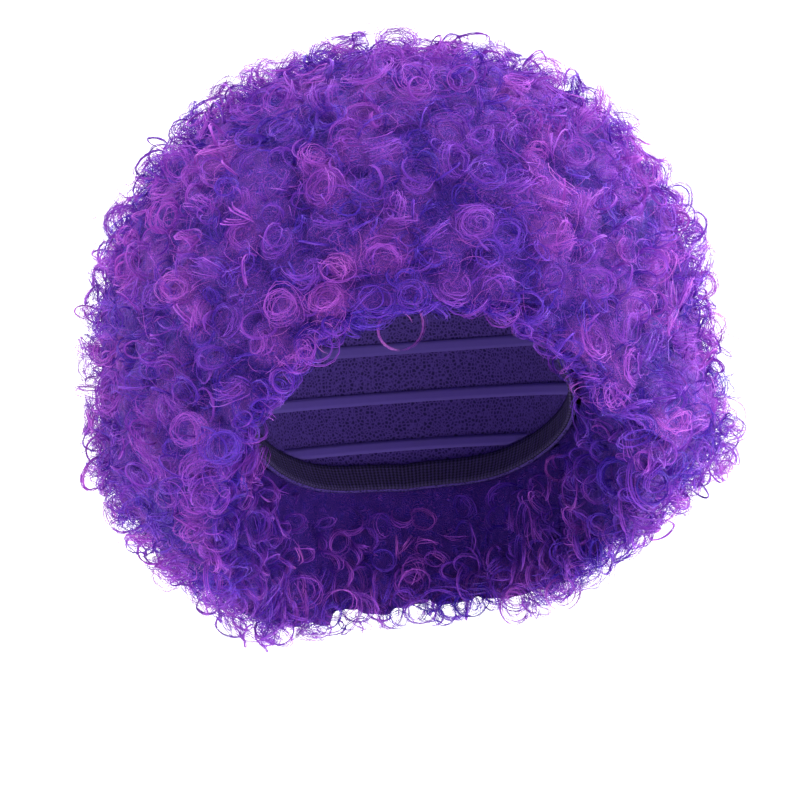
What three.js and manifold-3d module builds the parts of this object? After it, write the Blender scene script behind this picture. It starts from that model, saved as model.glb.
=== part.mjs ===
// A curly clown wig: a stretch cap with an elastic edge band, and rows of hair sewn round it.
// Each row is one weft, a sewn strip of hair whose locks end in fat corkscrew curls.
// Millimetres, +Z up. The wearer faces -Y, and the origin is where the cap's inside sits on
// the crown of the head.
import * as THREE from "three";
import { mergeVertices } from "three/addons/utils/BufferGeometryUtils.js";
import Module from "manifold-3d";

const wasm = await Module();
wasm.setup();

// The head that fills the cap
const headWidth = 154;
const headLength = 194;
const crownHeight = 95; // from the crown down to the head's widest level

// The cap and the elastic band sewn inside its edge
const capWall = 1.6;
const bandWidth = 14;
const bandThickness = 1.4;

// How deep the hair stands over the cap
const hairOverCrown = 66;
const hairAtSides = 84;
const hairAtFront = 66;
const hairAtBack = 66;
const tuftHeight = 3; // how far the crown's own lock stands over its neighbours
const puffForward = 16; // degrees by which the locks at the sides lean towards the face

// Rows of hair
const fullRows = 4; // rings that run over the forehead too
const openRows = 4; // rows that run from one temple to the other round the back
const rowGap = 0.6; // clear space between the roots of two rows
const sewnGap = 0.3; // clear space between pieces that are sewn together
const lockInset = 1; // how much narrower than its mat the space for a row's locks is
const matShare = 0.72; // share of the hair's depth that is matted into one wall
const matValley = 0.05; // how much less deep the mat is along a row's edges
const lockFill = 0.95; // share of a row's width that a lock fills
const lockSpacing = 1.24; // from one lock to the next, in row widths
const strandShare = 0.38; // share of a lock's half width that its strand of hair takes
const lockTurns = 1.15; // turns of a lock's corkscrew, its climb out of the mat counted in
const tipCurl = 0.4; // how far a lock's tip curls in towards the middle of its ring
const tipTaper = 0.4; // how much thinner a lock's tip is than its strand
const lockStart = 0.6; // share of the hair's depth at which a lock's corkscrew starts
const lockEnd = 0.9; // share of the hair's depth that the middle of a lock's tip reaches
const climbHeight = 0.75; // share of its height that a lock climbs before it curls
const lockSway = 0.035; // how much longer or shorter than the outline a lock may be
const endLockDepth = 0.4; // share of the hair's depth at which an end's lock leaves its row
const endLockRoot = 5; // degrees from the row's end back to where that lock starts
const endLockTip = 9; // degrees from the row's end on to where that lock's tip lies
const lockLean = 0.25; // how far a lock may lean along its row, in lock widths
const spaceDepth = 1.4; // how far out the space between two partings is drawn

// Facets
const capSteps = 30;
const capRings = 5;
const rowSteps = 24;
const strandSides = 4;
const strandSteps = 7;
const finest = 0.2; // facets smaller than this are merged into their neighbours
const drawnIn = 0.01; // how far each surface is drawn in

const degrees = THREE.MathUtils.degToRad;

// The cap's edge and the fall of the hair, from the nape (0 degrees) round to the forehead
// (180 degrees). drop is the edge's depth below the crown, as a share of crownHeight, and fall
// is how much further round the ball of hair a lock's tip lies than its root.
const edgeTable = [
  { azimuth: 0, drop: 1.56, fall: 1.24 },
  { azimuth: 45, drop: 1.505, fall: 1.28 },
  { azimuth: 90, drop: 1.24, fall: 1.4 },
  { azimuth: 112, drop: 1.02, fall: 1.34 },
  { azimuth: 130, drop: 0.8, fall: 1.27 },
  { azimuth: 155, drop: 0.61, fall: 1.2 },
  { azimuth: 180, drop: 0.57, fall: 1.17 },
];

// The ball's outline seen from the front, from its top (0 degrees) down, as shares of the
// hair's full reach. left and right are the viewer's.
const outlineTable = [
  { polar: 0, left: 1.0, right: 1.0 },
  { polar: 30, left: 1.02, right: 1.01 },
  { polar: 60, left: 0.985, right: 0.96 },
  { polar: 87, left: 0.93, right: 0.89 },
  { polar: 103, left: 0.975, right: 0.965 },
  { polar: 119, left: 0.93, right: 0.865 },
  { polar: 135, left: 0.89, right: 0.79 },
  { polar: 152, left: 0.85, right: 0.78 },
  { polar: 180, left: 0.82, right: 0.77 },
];

// Reads a column of a table at a place between its rows, on a smooth line through them.
function readTable(table, key, place, column) {
  const last = table.length - 1;
  const at = THREE.MathUtils.clamp(place, table[0][key], table[last][key]);
  const next = Math.max(1, table.findIndex((row) => row[key] >= at));
  const slope = (i) => {
    const [before, after] = [table[Math.max(0, i - 1)], table[Math.min(last, i + 1)]];
    return (after[column] - before[column]) / (after[key] - before[key]);
  };
  const [a, b] = [table[next - 1], table[next]];
  const span = b[key] - a[key];
  const t = (at - a[key]) / span;
  const eased = t * t * (3 - 2 * t);
  const bends = slope(next - 1) * t * (1 - t) ** 2 - slope(next) * t * t * (1 - t);
  return THREE.MathUtils.lerp(a[column], b[column], eased) + span * bends;
}

// A point on the head's form, moved out from it by a distance. Azimuth 0 is the nape.
function onHead(azimuth, polar, outward) {
  return new THREE.Vector3(
    (headWidth / 2 + outward) * Math.sin(polar) * Math.sin(azimuth),
    (headLength / 2 + outward) * Math.sin(polar) * Math.cos(azimuth),
    (crownHeight + outward) * Math.cos(polar) - crownHeight,
  );
}

// Azimuth in degrees from the nape, the same on both sides of the head.
function sideAngle(azimuth) {
  const turned = Math.atan2(Math.sin(azimuth), Math.cos(azimuth));
  return THREE.MathUtils.radToDeg(Math.abs(turned));
}

// Angle at the head's centre, from straight up, of the cap's edge.
function edgePolar(azimuth) {
  return Math.acos(1 - readTable(edgeTable, "azimuth", sideAngle(azimuth), "drop"));
}

// The azimuth at which the cap's edge passes a polar angle, found by halving.
function azimuthOfEdge(polar) {
  let [back, front] = [0, Math.PI];
  for (let i = 0; i < 24; i++) {
    const middle = (back + front) / 2;
    if (edgePolar(middle) >= polar) back = middle;
    else front = middle;
  }
  return back;
}

// The outermost point that the hair with a root at this place reaches.
function onOutline(azimuth, rootPolar) {
  const fall = readTable(edgeTable, "azimuth", sideAngle(azimuth), "fall");
  const polar = rootPolar * fall;
  const polarDegrees = THREE.MathUtils.radToDeg(polar);
  const left = readTable(outlineTable, "polar", polarDegrees, "left");
  const right = readTable(outlineTable, "polar", polarDegrees, "right");
  const turned = azimuth + degrees(puffForward) * Math.sin(azimuth);
  const share = THREE.MathUtils.lerp(left, right, (1 + Math.sin(turned)) / 2);
  const forward = (1 - Math.cos(turned)) / 2;
  const hairLengthwise = THREE.MathUtils.lerp(hairAtBack, hairAtFront, forward);
  return new THREE.Vector3(
    (headWidth / 2 + hairAtSides) * share * Math.sin(polar) * Math.sin(turned),
    (headLength / 2 + hairLengthwise) * share * Math.sin(polar) * Math.cos(turned),
    (crownHeight + hairOverCrown) * share * Math.cos(polar) - crownHeight,
  );
}

// Rows are faceted, so their seat stands off far enough that no facet dips into the cap.
const azimuthStep = (2 * Math.PI) / rowSteps;
const fullPitch = edgePolar(Math.PI) / (fullRows + 0.5);
const openPitch = (edgePolar(0) - edgePolar(Math.PI)) / openRows;
const facetDip =
  (headLength / 2) *
  (1 - Math.cos(azimuthStep / 2) * Math.cos(Math.max(fullPitch, openPitch) / 2));
const seatOffset = capWall + sewnGap + facetDip;

// A point in the hair: depth 0 is the cap's surface and depth 1 the outline.
function inHair(azimuth, polar, depth) {
  return onHead(azimuth, polar, seatOffset).lerp(onOutline(azimuth, polar), depth);
}

// A closed skin over rings of as many points each. It joins the last ring to the first, or
// closes each end with a fan round a middle point. Each four-sided facet is split along one
// diagonal, and those of the turned columns along the other one.
function skin(rings, endPoints, turnedColumns = []) {
  const count = rings[0].length;
  const points = rings.flat();
  const faces = [];
  const spans = endPoints ? rings.length - 1 : rings.length;
  for (let i = 0; i < spans; i++) {
    const here = i * count;
    const there = ((i + 1) % rings.length) * count;
    for (let j = 0; j < count; j++) {
      const k = (j + 1) % count;
      if (turnedColumns.includes(j)) {
        faces.push(here + j, here + k, there + j, here + k, there + k, there + j);
      } else {
        faces.push(here + j, here + k, there + k, here + j, there + k, there + j);
      }
    }
  }
  if (endPoints) {
    const lastRing = (rings.length - 1) * count;
    points.push(...endPoints);
    for (let j = 0; j < count; j++) {
      const k = (j + 1) % count;
      faces.push(points.length - 2, k, j);
      faces.push(points.length - 1, lastRing + j, lastRing + k);
    }
  }
  const geometry = new THREE.BufferGeometry().setFromPoints(points);
  geometry.setIndex(faces);
  return geometry;
}

function middleOf(points) {
  const sum = points.reduce((total, p) => total.add(p), new THREE.Vector3());
  return sum.divideScalar(points.length);
}

// A manifold-3d solid from a closed geometry, with its faces turned out.
function solidFrom(geometry) {
  const merged = mergeVertices(geometry, 1e-4);
  const vertProperties = merged.getAttribute("position").array;
  const triVerts = new Uint32Array(merged.index.array);
  const corner = (i) => new THREE.Vector3().fromArray(vertProperties, triVerts[i] * 3);
  let volume = 0;
  for (let i = 0; i < triVerts.length; i += 3) {
    volume += corner(i).dot(corner(i + 1).cross(corner(i + 2)));
  }
  if (volume < 0) triVerts.reverse();
  return new wasm.Manifold(new wasm.Mesh({ numProp: 3, vertProperties, triVerts }));
}

// A geometry from a manifold-3d solid. Its points are drawn in a little, so that two of its
// surfaces that only touch come apart.
function geometryFrom(solid) {
  const mesh = solid.getMesh();
  const geometry = new THREE.BufferGeometry();
  geometry.setAttribute("position", new THREE.BufferAttribute(mesh.vertProperties, 3));
  geometry.setIndex(new THREE.BufferAttribute(mesh.triVerts, 1));
  geometry.computeVertexNormals();
  const position = geometry.getAttribute("position");
  const normal = geometry.getAttribute("normal");
  for (let i = 0; i < position.count; i++) {
    const point = new THREE.Vector3().fromBufferAttribute(position, i);
    point.addScaledVector(new THREE.Vector3().fromBufferAttribute(normal, i), -drawnIn);
    position.setXYZ(i, point.x, point.y, point.z);
  }
  return geometry;
}

function around(steps, from, to, pointAt) {
  return Array.from({ length: steps }, (_, i) => pointAt(from + ((to - from) * i) / steps));
}

// The cap: a thin shell over the head form, cut off at the edge.
function capSolid() {
  const bandPolar = bandWidth / (headLength / 2);
  const ring = (share, atEdge, outward) =>
    around(capSteps, 0, 2 * Math.PI, (azimuth) => {
      const edge = edgePolar(azimuth);
      return onHead(azimuth, atEdge ? edge : (edge - bandPolar) * share, outward);
    });
  const inside = [];
  const outside = [];
  for (let i = 1; i <= capRings; i++) {
    inside.push(ring(i / capRings, false, 0));
    outside.unshift(ring(i / capRings, false, capWall));
  }
  const edges = [ring(1, true, 0), ring(1, true, capWall)];
  const poles = [onHead(0, 0, 0), onHead(0, 0, capWall)];
  return solidFrom(skin([...inside, ...edges, ...outside], poles));
}

// The elastic band, inside the cap along its edge.
function bandSolid() {
  const bandPolar = bandWidth / (headLength / 2);
  const trim = sewnGap / (headLength / 2);
  const outer = -sewnGap;
  const inner = outer - bandThickness;
  const sections = around(capSteps, 0, 2 * Math.PI, (azimuth) => {
    const low = edgePolar(azimuth) - trim;
    const high = edgePolar(azimuth) - bandPolar;
    return [
      onHead(azimuth, high, outer),
      onHead(azimuth, low, outer),
      onHead(azimuth, low, inner),
      onHead(azimuth, high, inner),
    ];
  });
  return solidFrom(skin(sections));
}

// Polar angles at the head's centre between which each row has its roots, from the crown
// down, and the azimuth that it reaches on both sides. An open row stops where too little of
// it is left above the cap's edge.
function rowPlan() {
  const rows = [{ top: 0, bottom: fullPitch / 2, reach: Math.PI }];
  for (let i = 0; i < fullRows + openRows; i++) {
    const top = rows[i].bottom;
    const isFull = i < fullRows;
    const bottom = top + (isFull ? fullPitch : openPitch);
    const edge = azimuthOfEdge(top + 0.4 * openPitch);
    const reach = isFull ? Math.PI : Math.floor(edge / azimuthStep) * azimuthStep;
    rows.push({ top, bottom, reach });
  }
  return rows;
}

// The lower limit of a row's roots, which never lie below the cap's edge.
function rowBottom(row, azimuth) {
  const within = THREE.MathUtils.clamp(azimuth, -row.reach, row.reach);
  return Math.min(row.bottom, edgePolar(within));
}

function rowMiddle(row, azimuth) {
  return (row.top + rowBottom(row, azimuth)) / 2;
}

// Half of a row's width at a place in the hair, measured square to the row's own surface.
function halfWidth(row, azimuth, depth) {
  const polar = rowMiddle(row, azimuth);
  const outward = inHair(azimuth, polar, 1).sub(inHair(azimuth, polar, 0));
  const ahead = inHair(azimuth + degrees(1), polar, depth);
  const along = ahead.sub(inHair(azimuth - degrees(1), polar, depth));
  const square = new THREE.Vector3().crossVectors(along, outward).normalize();
  const top = inHair(azimuth, row.top, depth);
  const across = top.sub(inHair(azimuth, rowBottom(row, azimuth), depth));
  return Math.abs(across.dot(square)) / 2;
}

// A solid between the surfaces that part a row from its neighbours. Its section is a list of
// points, each on the row's top, middle or bottom line at a depth. The turned columns give
// both surfaces of a parting the same facets.
function rowSolid(row, reach, gap, corners, turnedColumns) {
  const clear = gap / 2 / (headLength / 2);
  const section = (azimuth) => {
    const [top, bottom] = [row.top + clear, rowBottom(row, azimuth) - clear];
    return corners.map(({ level, depth }) =>
      inHair(azimuth, THREE.MathUtils.lerp(top, bottom, level), depth),
    );
  };
  const steps = Math.round((2 * reach) / azimuthStep);
  const sections = around(steps, -reach, reach, section);
  if (reach === Math.PI) return solidFrom(skin(sections, null, turnedColumns));
  sections.push(section(reach));
  const ends = [middleOf(sections[0]), middleOf(sections[steps])];
  return solidFrom(skin(sections, ends, turnedColumns));
}

// The matted wall that the locks of a row grow from, next to the cap.
function matSolid(row) {
  const corners = [
    { level: 0, depth: 0 },
    { level: 1, depth: 0 },
    { level: 1, depth: matShare - matValley },
    { level: 0.5, depth: matShare },
    { level: 0, depth: matShare - matValley },
  ];
  return rowSolid(row, row.reach, rowGap, corners, [4]);
}

// The space that a row's locks are kept in. It runs past the ends of an open row.
function lockSpace(row) {
  const past = row.reach === Math.PI ? 0 : 2 * azimuthStep;
  const corners = [
    { level: 0, depth: 0 },
    { level: 1, depth: 0 },
    { level: 1, depth: matShare - matValley },
    { level: 1, depth: spaceDepth },
    { level: 0, depth: spaceDepth },
    { level: 0, depth: matShare - matValley },
  ];
  return rowSolid(row, row.reach + past, rowGap + lockInset, corners, [4, 5]);
}

// The plug of matted hair under the crown's own lock, or the space round that lock.
function crownSolid(row, depth) {
  const edge = row.bottom - rowGap / 2 / (headLength / 2);
  const ring = (share, ringDepth) =>
    around(rowSteps, 0, 2 * Math.PI, (azimuth) => inHair(azimuth, edge * share, ringDepth));
  return solidFrom(skin([ring(1, 0), ring(1, depth)], [inHair(0, 0, 0), inHair(0, 0, depth)]));
}

// One solid of a mat and its locks. Where locks close round a bubble of air, it is filled.
function fused(solids) {
  const skins = wasm.Manifold.union(solids).decompose();
  const outer = skins.reduce((most, next) => (next.volume() > most.volume() ? next : most));
  return outer.simplify(finest);
}

// One lock: a strand that climbs out of the mat and curls round in a ring that closes inwards.
function lockSolid({ root, tip, radius, phase, hand }) {
  const axis = tip.clone().sub(root).normalize();
  const aside = new THREE.Vector3(...(Math.abs(axis.z) > 0.9 ? [1, 0, 0] : [0, 0, 1]));
  const across = aside.cross(axis).normalize();
  const upward = new THREE.Vector3().crossVectors(across, axis);
  const climb = 1 / strandSteps;
  const turned = (share) => {
    const turn = phase + hand * 2 * Math.PI * lockTurns * Math.max(0, share - climb);
    const outward = across.clone().multiplyScalar(Math.cos(turn));
    return outward.addScaledVector(upward, Math.sin(turn));
  };
  const path = (share) => {
    const curled = Math.max(0, share - climb) / (1 - climb);
    const height = THREE.MathUtils.lerp(climbHeight * Math.min(1, share / climb), 1, curled);
    const coil = radius * (1 - strandShare) * (1 - tipCurl * curled ** 3);
    return root.clone().lerp(tip, height).addScaledVector(turned(share), coil);
  };
  const rings = [];
  for (let i = 0; i <= strandSteps; i++) {
    const share = i / strandSteps;
    const along = path(share + climb / 3).sub(path(share - climb / 3)).normalize();
    const side = turned(share);
    side.addScaledVector(along, -side.dot(along)).normalize();
    const over = new THREE.Vector3().crossVectors(along, side);
    const strand = radius * strandShare * (1 - tipTaper * share ** 4);
    rings.push(
      around(strandSides, 0, 2 * Math.PI, (turn) =>
        path(share)
          .addScaledVector(side, strand * Math.cos(turn))
          .addScaledVector(over, strand * Math.sin(turn)),
      ),
    );
  }
  return solidFrom(skin(rings, [middleOf(rings[0]), middleOf(rings[strandSteps])]));
}

// Azimuths of a row's locks, spaced by the width of the row at each place. An open row has a
// lock at each of its ends.
function lockAzimuths(row, rowIndex) {
  const samples = 180;
  const step = (2 * row.reach) / samples;
  const places = [0];
  for (let i = 0; i < samples; i++) {
    const azimuth = -row.reach + step * i;
    const here = onOutline(azimuth, rowMiddle(row, azimuth));
    const length = here.distanceTo(onOutline(azimuth + step, rowMiddle(row, azimuth + step)));
    const width = 2 * halfWidth(row, azimuth + step / 2, lockEnd);
    places.push(places[i] + length / (lockSpacing * width));
  }
  const total = places[samples];
  const isRing = row.reach === Math.PI;
  const count = Math.max(2, Math.round(total) + (isRing ? 0 : 1));
  return Array.from({ length: count }, (_, i) => {
    const place = isRing ? ((i + 0.5 * (rowIndex % 2)) / count) * total : (i / (count - 1)) * total;
    const next = Math.max(1, places.findIndex((sum) => sum >= place - 1e-9));
    const within = (place - places[next - 1]) / (places[next] - places[next - 1]);
    return -row.reach + step * (next - 1 + within);
  });
}

// The locks of a row, each with its own length, lean and turn.
function lockSolids(row, rowIndex) {
  return lockAzimuths(row, rowIndex).map((azimuth, i) => {
    const middle = rowMiddle(row, azimuth);
    const stretch = lockSway * Math.sin(7.3 * i + 2.1 * rowIndex);
    const lean = lockLean * Math.sin(4.1 * i + 1.7 * rowIndex);
    const root = inHair(azimuth, middle, lockStart);
    const tip = inHair(azimuth, middle, lockEnd + stretch);
    const ahead = inHair(azimuth + degrees(1), middle, lockEnd).sub(inHair(azimuth, middle, lockEnd));
    tip.addScaledVector(ahead.normalize(), lean * halfWidth(row, azimuth, 1));
    return lockSolid({
      root,
      tip,
      radius: lockFill * halfWidth(row, azimuth, lockEnd),
      phase: 2.4 * i + 1.3 * rowIndex,
      hand: i % 2 ? 1 : -1,
    });
  });
}

// The locks that curl out of the ends of an open row, beside the face.
function endLockSolids(row, rowIndex) {
  const middle = rowMiddle(row, row.reach);
  return [-1, 1].map((side) =>
    lockSolid({
      root: inHair(side * (row.reach - degrees(endLockRoot)), middle, endLockDepth),
      tip: inHair(side * (row.reach + degrees(endLockTip)), middle, endLockDepth),
      radius: lockFill * halfWidth(row, row.reach, endLockDepth),
      phase: side + rowIndex,
      hand: side,
    }),
  );
}

// The lock that stands straight up from the crown.
function crownLockSolid(row) {
  return lockSolid({
    root: inHair(0, 0, lockStart),
    tip: inHair(0, 0, lockEnd + tuftHeight / hairOverCrown),
    radius: lockFill * inHair(0, row.bottom, lockEnd).distanceTo(inHair(0, 0, lockEnd)),
    phase: 0,
    hand: 1,
  });
}

const hairFinish = () =>
  new THREE.MeshStandardMaterial({ color: "#7a35b4", roughness: 0.6, metalness: 0 });
const netFinish = () =>
  new THREE.MeshStandardMaterial({ color: "#2c1a52", roughness: 0.9, metalness: 0 });
const elasticFinish = () =>
  new THREE.MeshStandardMaterial({ color: "#1d1830", roughness: 0.85, metalness: 0 });

function piece(name, solid, material) {
  const mesh = new THREE.Mesh(geometryFrom(solid), material);
  mesh.name = name;
  return mesh;
}

const wig = new THREE.Group();
wig.add(piece("cap", capSolid(), netFinish()));
wig.add(piece("edge_band", bandSolid(), elasticFinish()));

const [crownRow, ...hairRows] = rowPlan();
const crownLock = crownLockSolid(crownRow).intersect(crownSolid(crownRow, spaceDepth));
wig.add(piece("crown_tuft", fused([crownSolid(crownRow, matShare), crownLock]), hairFinish()));
hairRows.forEach((row, i) => {
  const ends = row.reach === Math.PI ? [] : endLockSolids(row, i);
  const locks = wasm.Manifold.union([...lockSolids(row, i), ...ends]).intersect(lockSpace(row));
  wig.add(piece(`hair_weft_${i + 1}`, fused([matSolid(row), locks]), hairFinish()));
});

export default wig;
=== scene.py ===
"""A purple curly clown wig: a stretch net cap and rows of crimped, curled synthetic hair.

The hair of each weft is a matted core with rings in its surface, ringlets that stand on the
core and are seen end-on, and loose frizz between them. Metres, +Z up, open towards -Y.
"""

import logging
import math
from dataclasses import dataclass, field
from enum import Enum
from typing import NamedTuple, Sequence

import bpy
import numpy as np
from mathutils import Matrix, Vector


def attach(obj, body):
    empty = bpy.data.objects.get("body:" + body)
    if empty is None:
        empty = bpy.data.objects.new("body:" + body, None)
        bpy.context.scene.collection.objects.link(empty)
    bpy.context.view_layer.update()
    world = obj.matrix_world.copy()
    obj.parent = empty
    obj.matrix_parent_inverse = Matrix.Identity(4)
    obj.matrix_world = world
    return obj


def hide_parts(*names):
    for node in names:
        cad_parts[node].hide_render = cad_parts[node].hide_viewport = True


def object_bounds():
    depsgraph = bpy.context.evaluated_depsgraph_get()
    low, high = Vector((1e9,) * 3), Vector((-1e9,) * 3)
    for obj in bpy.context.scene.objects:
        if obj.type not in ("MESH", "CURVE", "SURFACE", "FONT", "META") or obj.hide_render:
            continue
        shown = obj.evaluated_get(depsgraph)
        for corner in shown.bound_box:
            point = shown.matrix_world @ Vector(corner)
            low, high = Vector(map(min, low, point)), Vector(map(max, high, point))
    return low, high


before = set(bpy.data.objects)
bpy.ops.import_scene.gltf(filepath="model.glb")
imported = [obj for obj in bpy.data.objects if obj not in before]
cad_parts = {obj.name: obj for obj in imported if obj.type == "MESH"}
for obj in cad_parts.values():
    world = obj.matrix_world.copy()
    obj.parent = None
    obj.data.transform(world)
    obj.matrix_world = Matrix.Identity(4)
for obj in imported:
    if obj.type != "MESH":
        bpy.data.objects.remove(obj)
CAD_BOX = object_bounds()
log = logging.getLogger("wig")

Array = np.ndarray
MM = 0.001
HAIR_LENGTH = 84 * MM
STEP = 0.01  # how far apart directions are measured, in radians or shares of the depth
BAND_SCALE = 0.314  # scale at which the wave texture draws one band to a unit of length


def hex_to_linear(code: str) -> tuple[float, float, float, float]:
    """Turns an sRGB hex colour into a linear RGBA value.

    Args:
        code: The colour as "#rrggbb".

    Returns:
        Linear red, green, blue and an alpha of 1.
    """
    channels = [int(code[i : i + 2], 16) / 255 for i in (1, 3, 5)]
    linear = [c / 12.92 if c <= 0.04045 else ((c + 0.055) / 1.055) ** 2.4 for c in channels]
    return (*linear, 1.0)


def smooth_table(places: Sequence[float], values: Sequence[float], at: Array) -> Array:
    """Reads a table on a smooth line through its rows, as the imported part's source does.

    Args:
        places: The rows' places, rising.
        values: The rows' values.
        at: Where to read.

    Returns:
        The values there, held at both ends.
    """
    x, y = np.asarray(places, float), np.asarray(values, float)
    slopes = np.empty_like(y)
    slopes[1:-1] = (y[2:] - y[:-2]) / (x[2:] - x[:-2])
    slopes[0], slopes[-1] = (y[1] - y[0]) / (x[1] - x[0]), (y[-1] - y[-2]) / (x[-1] - x[-2])
    at = np.clip(at, x[0], x[-1])
    i = np.clip(np.searchsorted(x, at) - 1, 0, len(x) - 2)
    span = x[i + 1] - x[i]
    t = (at - x[i]) / span
    eased = t * t * (3 - 2 * t)
    bends = slopes[i] * t * (1 - t) ** 2 - slopes[i + 1] * t * t * (1 - t)
    return y[i] + (y[i + 1] - y[i]) * eased + span * bends


def unit(vectors: Array) -> Array:
    """Scales vectors to length 1."""
    return vectors / np.maximum(np.linalg.norm(vectors, axis=-1, keepdims=True), 1e-12)


@dataclass(frozen=True)
class Tuft:
    """A place where the curls stand out of the ball of hair's outline, or lie lower in it."""

    centre: tuple[float, float, float]
    reach: float
    rise: float


@dataclass
class HairSpace:
    """The space between the cap and the ball of hair's outline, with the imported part's sizes.

    Azimuth 0 is the middle of the back and pi of the front. Polar is the angle from straight
    up at the centre of the cap's form. Depth 0 is the cap's surface and 1 the outline.
    """

    head_width: float = 0.154
    head_length: float = 0.194
    crown_height: float = 0.095
    seat: float = 0.0035
    over_crown: float = 0.066
    at_sides: float = 0.084
    at_front: float = 0.066
    at_back: float = 0.066
    puff_forward: float = math.radians(16)
    lean: float = 0.35
    full_rows: int = 4
    open_rows: int = 4
    edge_azimuths: tuple[float, ...] = (0, 45, 90, 112, 130, 155, 180)
    edge_drops: tuple[float, ...] = (1.56, 1.505, 1.24, 1.02, 0.8, 0.61, 0.57)
    edge_falls: tuple[float, ...] = (1.24, 1.28, 1.4, 1.34, 1.27, 1.2, 1.17)
    outline_polars: tuple[float, ...] = (0, 30, 60, 87, 103, 119, 135, 152, 180)
    outline_left: tuple[float, ...] = (1.0, 1.02, 0.985, 0.93, 0.975, 0.93, 0.89, 0.85, 0.82)
    outline_right: tuple[float, ...] = (1.0, 1.01, 0.96, 0.89, 0.965, 0.865, 0.79, 0.78, 0.77)
    tufts: tuple[Tuft, ...] = (
        Tuft((-0.095, 0.009, 0.042), 0.028, -0.007),
        Tuft((-0.051, 0.003, 0.060), 0.022, -0.004),
        Tuft((0.056, -0.001, 0.055), 0.014, -0.005),
        Tuft((0.108, -0.005, 0.025), 0.016, -0.004),
        Tuft((0.128, -0.007, 0.003), 0.018, -0.006),
        Tuft((0.145, -0.010, -0.074), 0.024, 0.004),
        Tuft((0.151, -0.011, -0.112), 0.020, -0.008),
        Tuft((0.152, -0.011, -0.146), 0.014, 0.005),
        Tuft((0.098, -0.008, -0.187), 0.024, -0.009),
        Tuft((-0.148, 0.011, -0.032), 0.026, 0.005),
        Tuft((-0.148, 0.011, -0.080), 0.024, 0.003),
        Tuft((-0.150, 0.010, -0.139), 0.018, -0.007),
        Tuft((-0.102, 0.005, -0.194), 0.018, -0.008),
    )

    def _side(self, azimuth: Array) -> Array:
        """Azimuth in degrees from the middle of the back, the same on both sides."""
        return np.degrees(np.abs(np.arctan2(np.sin(azimuth), np.cos(azimuth))))

    def edge(self, azimuth: Array) -> Array:
        """Polar angle of the cap's edge."""
        drops = smooth_table(self.edge_azimuths, self.edge_drops, self._side(azimuth))
        return np.arccos(1 - drops)

    def head(self, azimuth: Array, polar: Array, outward: float = 0.0) -> Array:
        """A point on the form inside the cap, moved out from it by a distance.

        Args:
            azimuth: Azimuths of the points.
            polar: Polar angles of the points.
            outward: How far out from that form they lie.

        Returns:
            The points.
        """
        x = (self.head_width / 2 + outward) * np.sin(polar) * np.sin(azimuth)
        y = (self.head_length / 2 + outward) * np.sin(polar) * np.cos(azimuth)
        z = (self.crown_height + outward) * np.cos(polar) - self.crown_height
        return np.stack(np.broadcast_arrays(x, y, z), -1)

    def outline(self, azimuth: Array, polar: Array) -> Array:
        """The outermost point that hair with a root at this place reaches.

        Args:
            azimuth: Azimuths of the roots.
            polar: Polar angles of the roots.

        Returns:
            The points.
        """
        tip = polar * smooth_table(self.edge_azimuths, self.edge_falls, self._side(azimuth))
        left = smooth_table(self.outline_polars, self.outline_left, np.degrees(tip))
        right = smooth_table(self.outline_polars, self.outline_right, np.degrees(tip))
        turned = azimuth + self.puff_forward * np.sin(azimuth)
        share = left + (right - left) * (1 + np.sin(turned)) / 2
        forward = (1 - np.cos(turned)) / 2
        lengthwise = self.at_back + (self.at_front - self.at_back) * forward
        x = (self.head_width / 2 + self.at_sides) * share * np.sin(tip) * np.sin(turned)
        y = (self.head_length / 2 + lengthwise) * share * np.sin(tip) * np.cos(turned)
        z = (self.crown_height + self.over_crown) * share * np.cos(tip) - self.crown_height
        return np.stack(np.broadcast_arrays(x, y, z), -1)

    def point(self, azimuth: Array, polar: Array, depth: Array) -> Array:
        """A point in the hair.

        Args:
            azimuth: Azimuths of the points.
            polar: Polar angles of their roots.
            depth: Their depths.

        Returns:
            The points.
        """
        inner = self.head(azimuth, polar, self.seat)
        share = np.asarray(depth)[..., None]
        return inner + (self.outline(azimuth, polar) - inner) * share

    def tufted(self, azimuth: Array, polar: Array, depth: Array) -> Array:
        """Depths in the hair's outside as its tufts raise or lower them.

        Args:
            azimuth: Azimuths of the points.
            polar: Polar angles of their roots.
            depth: Their depths in an even outside.

        Returns:
            Their depths in the tufted one.
        """
        points = self.point(azimuth, polar, depth)
        for tuft in self.tufts:
            away = np.sum((points - np.array(tuft.centre)) ** 2, -1)
            depth = depth + tuft.rise / HAIR_LENGTH * np.exp(-away / tuft.reach**2)
        return depth

    def frame_at(self, azimuth: Array, polar: Array, depth: Array) -> tuple[Array, Array]:
        """The hair's outward direction and the direction round the wig.

        Args:
            azimuth: Azimuths of the points.
            polar: Polar angles of their roots.
            depth: Their depths.

        Returns:
            Unit vectors out of the hair's surface, and along it round the wig.
        """
        here = self.point(azimuth, polar, depth)
        round_head = self.point(azimuth + STEP, polar, depth) - here
        down = self.point(azimuth, polar + STEP, depth) - here
        out = unit(np.cross(down, round_head))
        growth = unit(self.outline(azimuth, polar) - self.head(azimuth, polar, self.seat))
        facing = np.sign(np.sum(out * growth, -1, keepdims=True))
        return unit(out * facing + self.lean * growth), unit(round_head)

    def rows(self) -> list[tuple[float, float]]:
        """Works out between which roots each row lies, from the crown's down.

        Returns:
            The polar angles of each row's top and bottom.
        """
        full = float(self.edge(np.array(math.pi))) / (self.full_rows + 0.5)
        hairline = full * (self.full_rows + 0.5)
        opened = (float(self.edge(np.array(0.0))) - hairline) / self.open_rows
        ends = [0.0, full / 2]
        ends += [ends[1] + full * (i + 1) for i in range(self.full_rows)]
        ends += [hairline + opened * (i + 1) for i in range(self.open_rows)]
        return list(zip(ends[:-1], ends[1:]))

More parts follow.
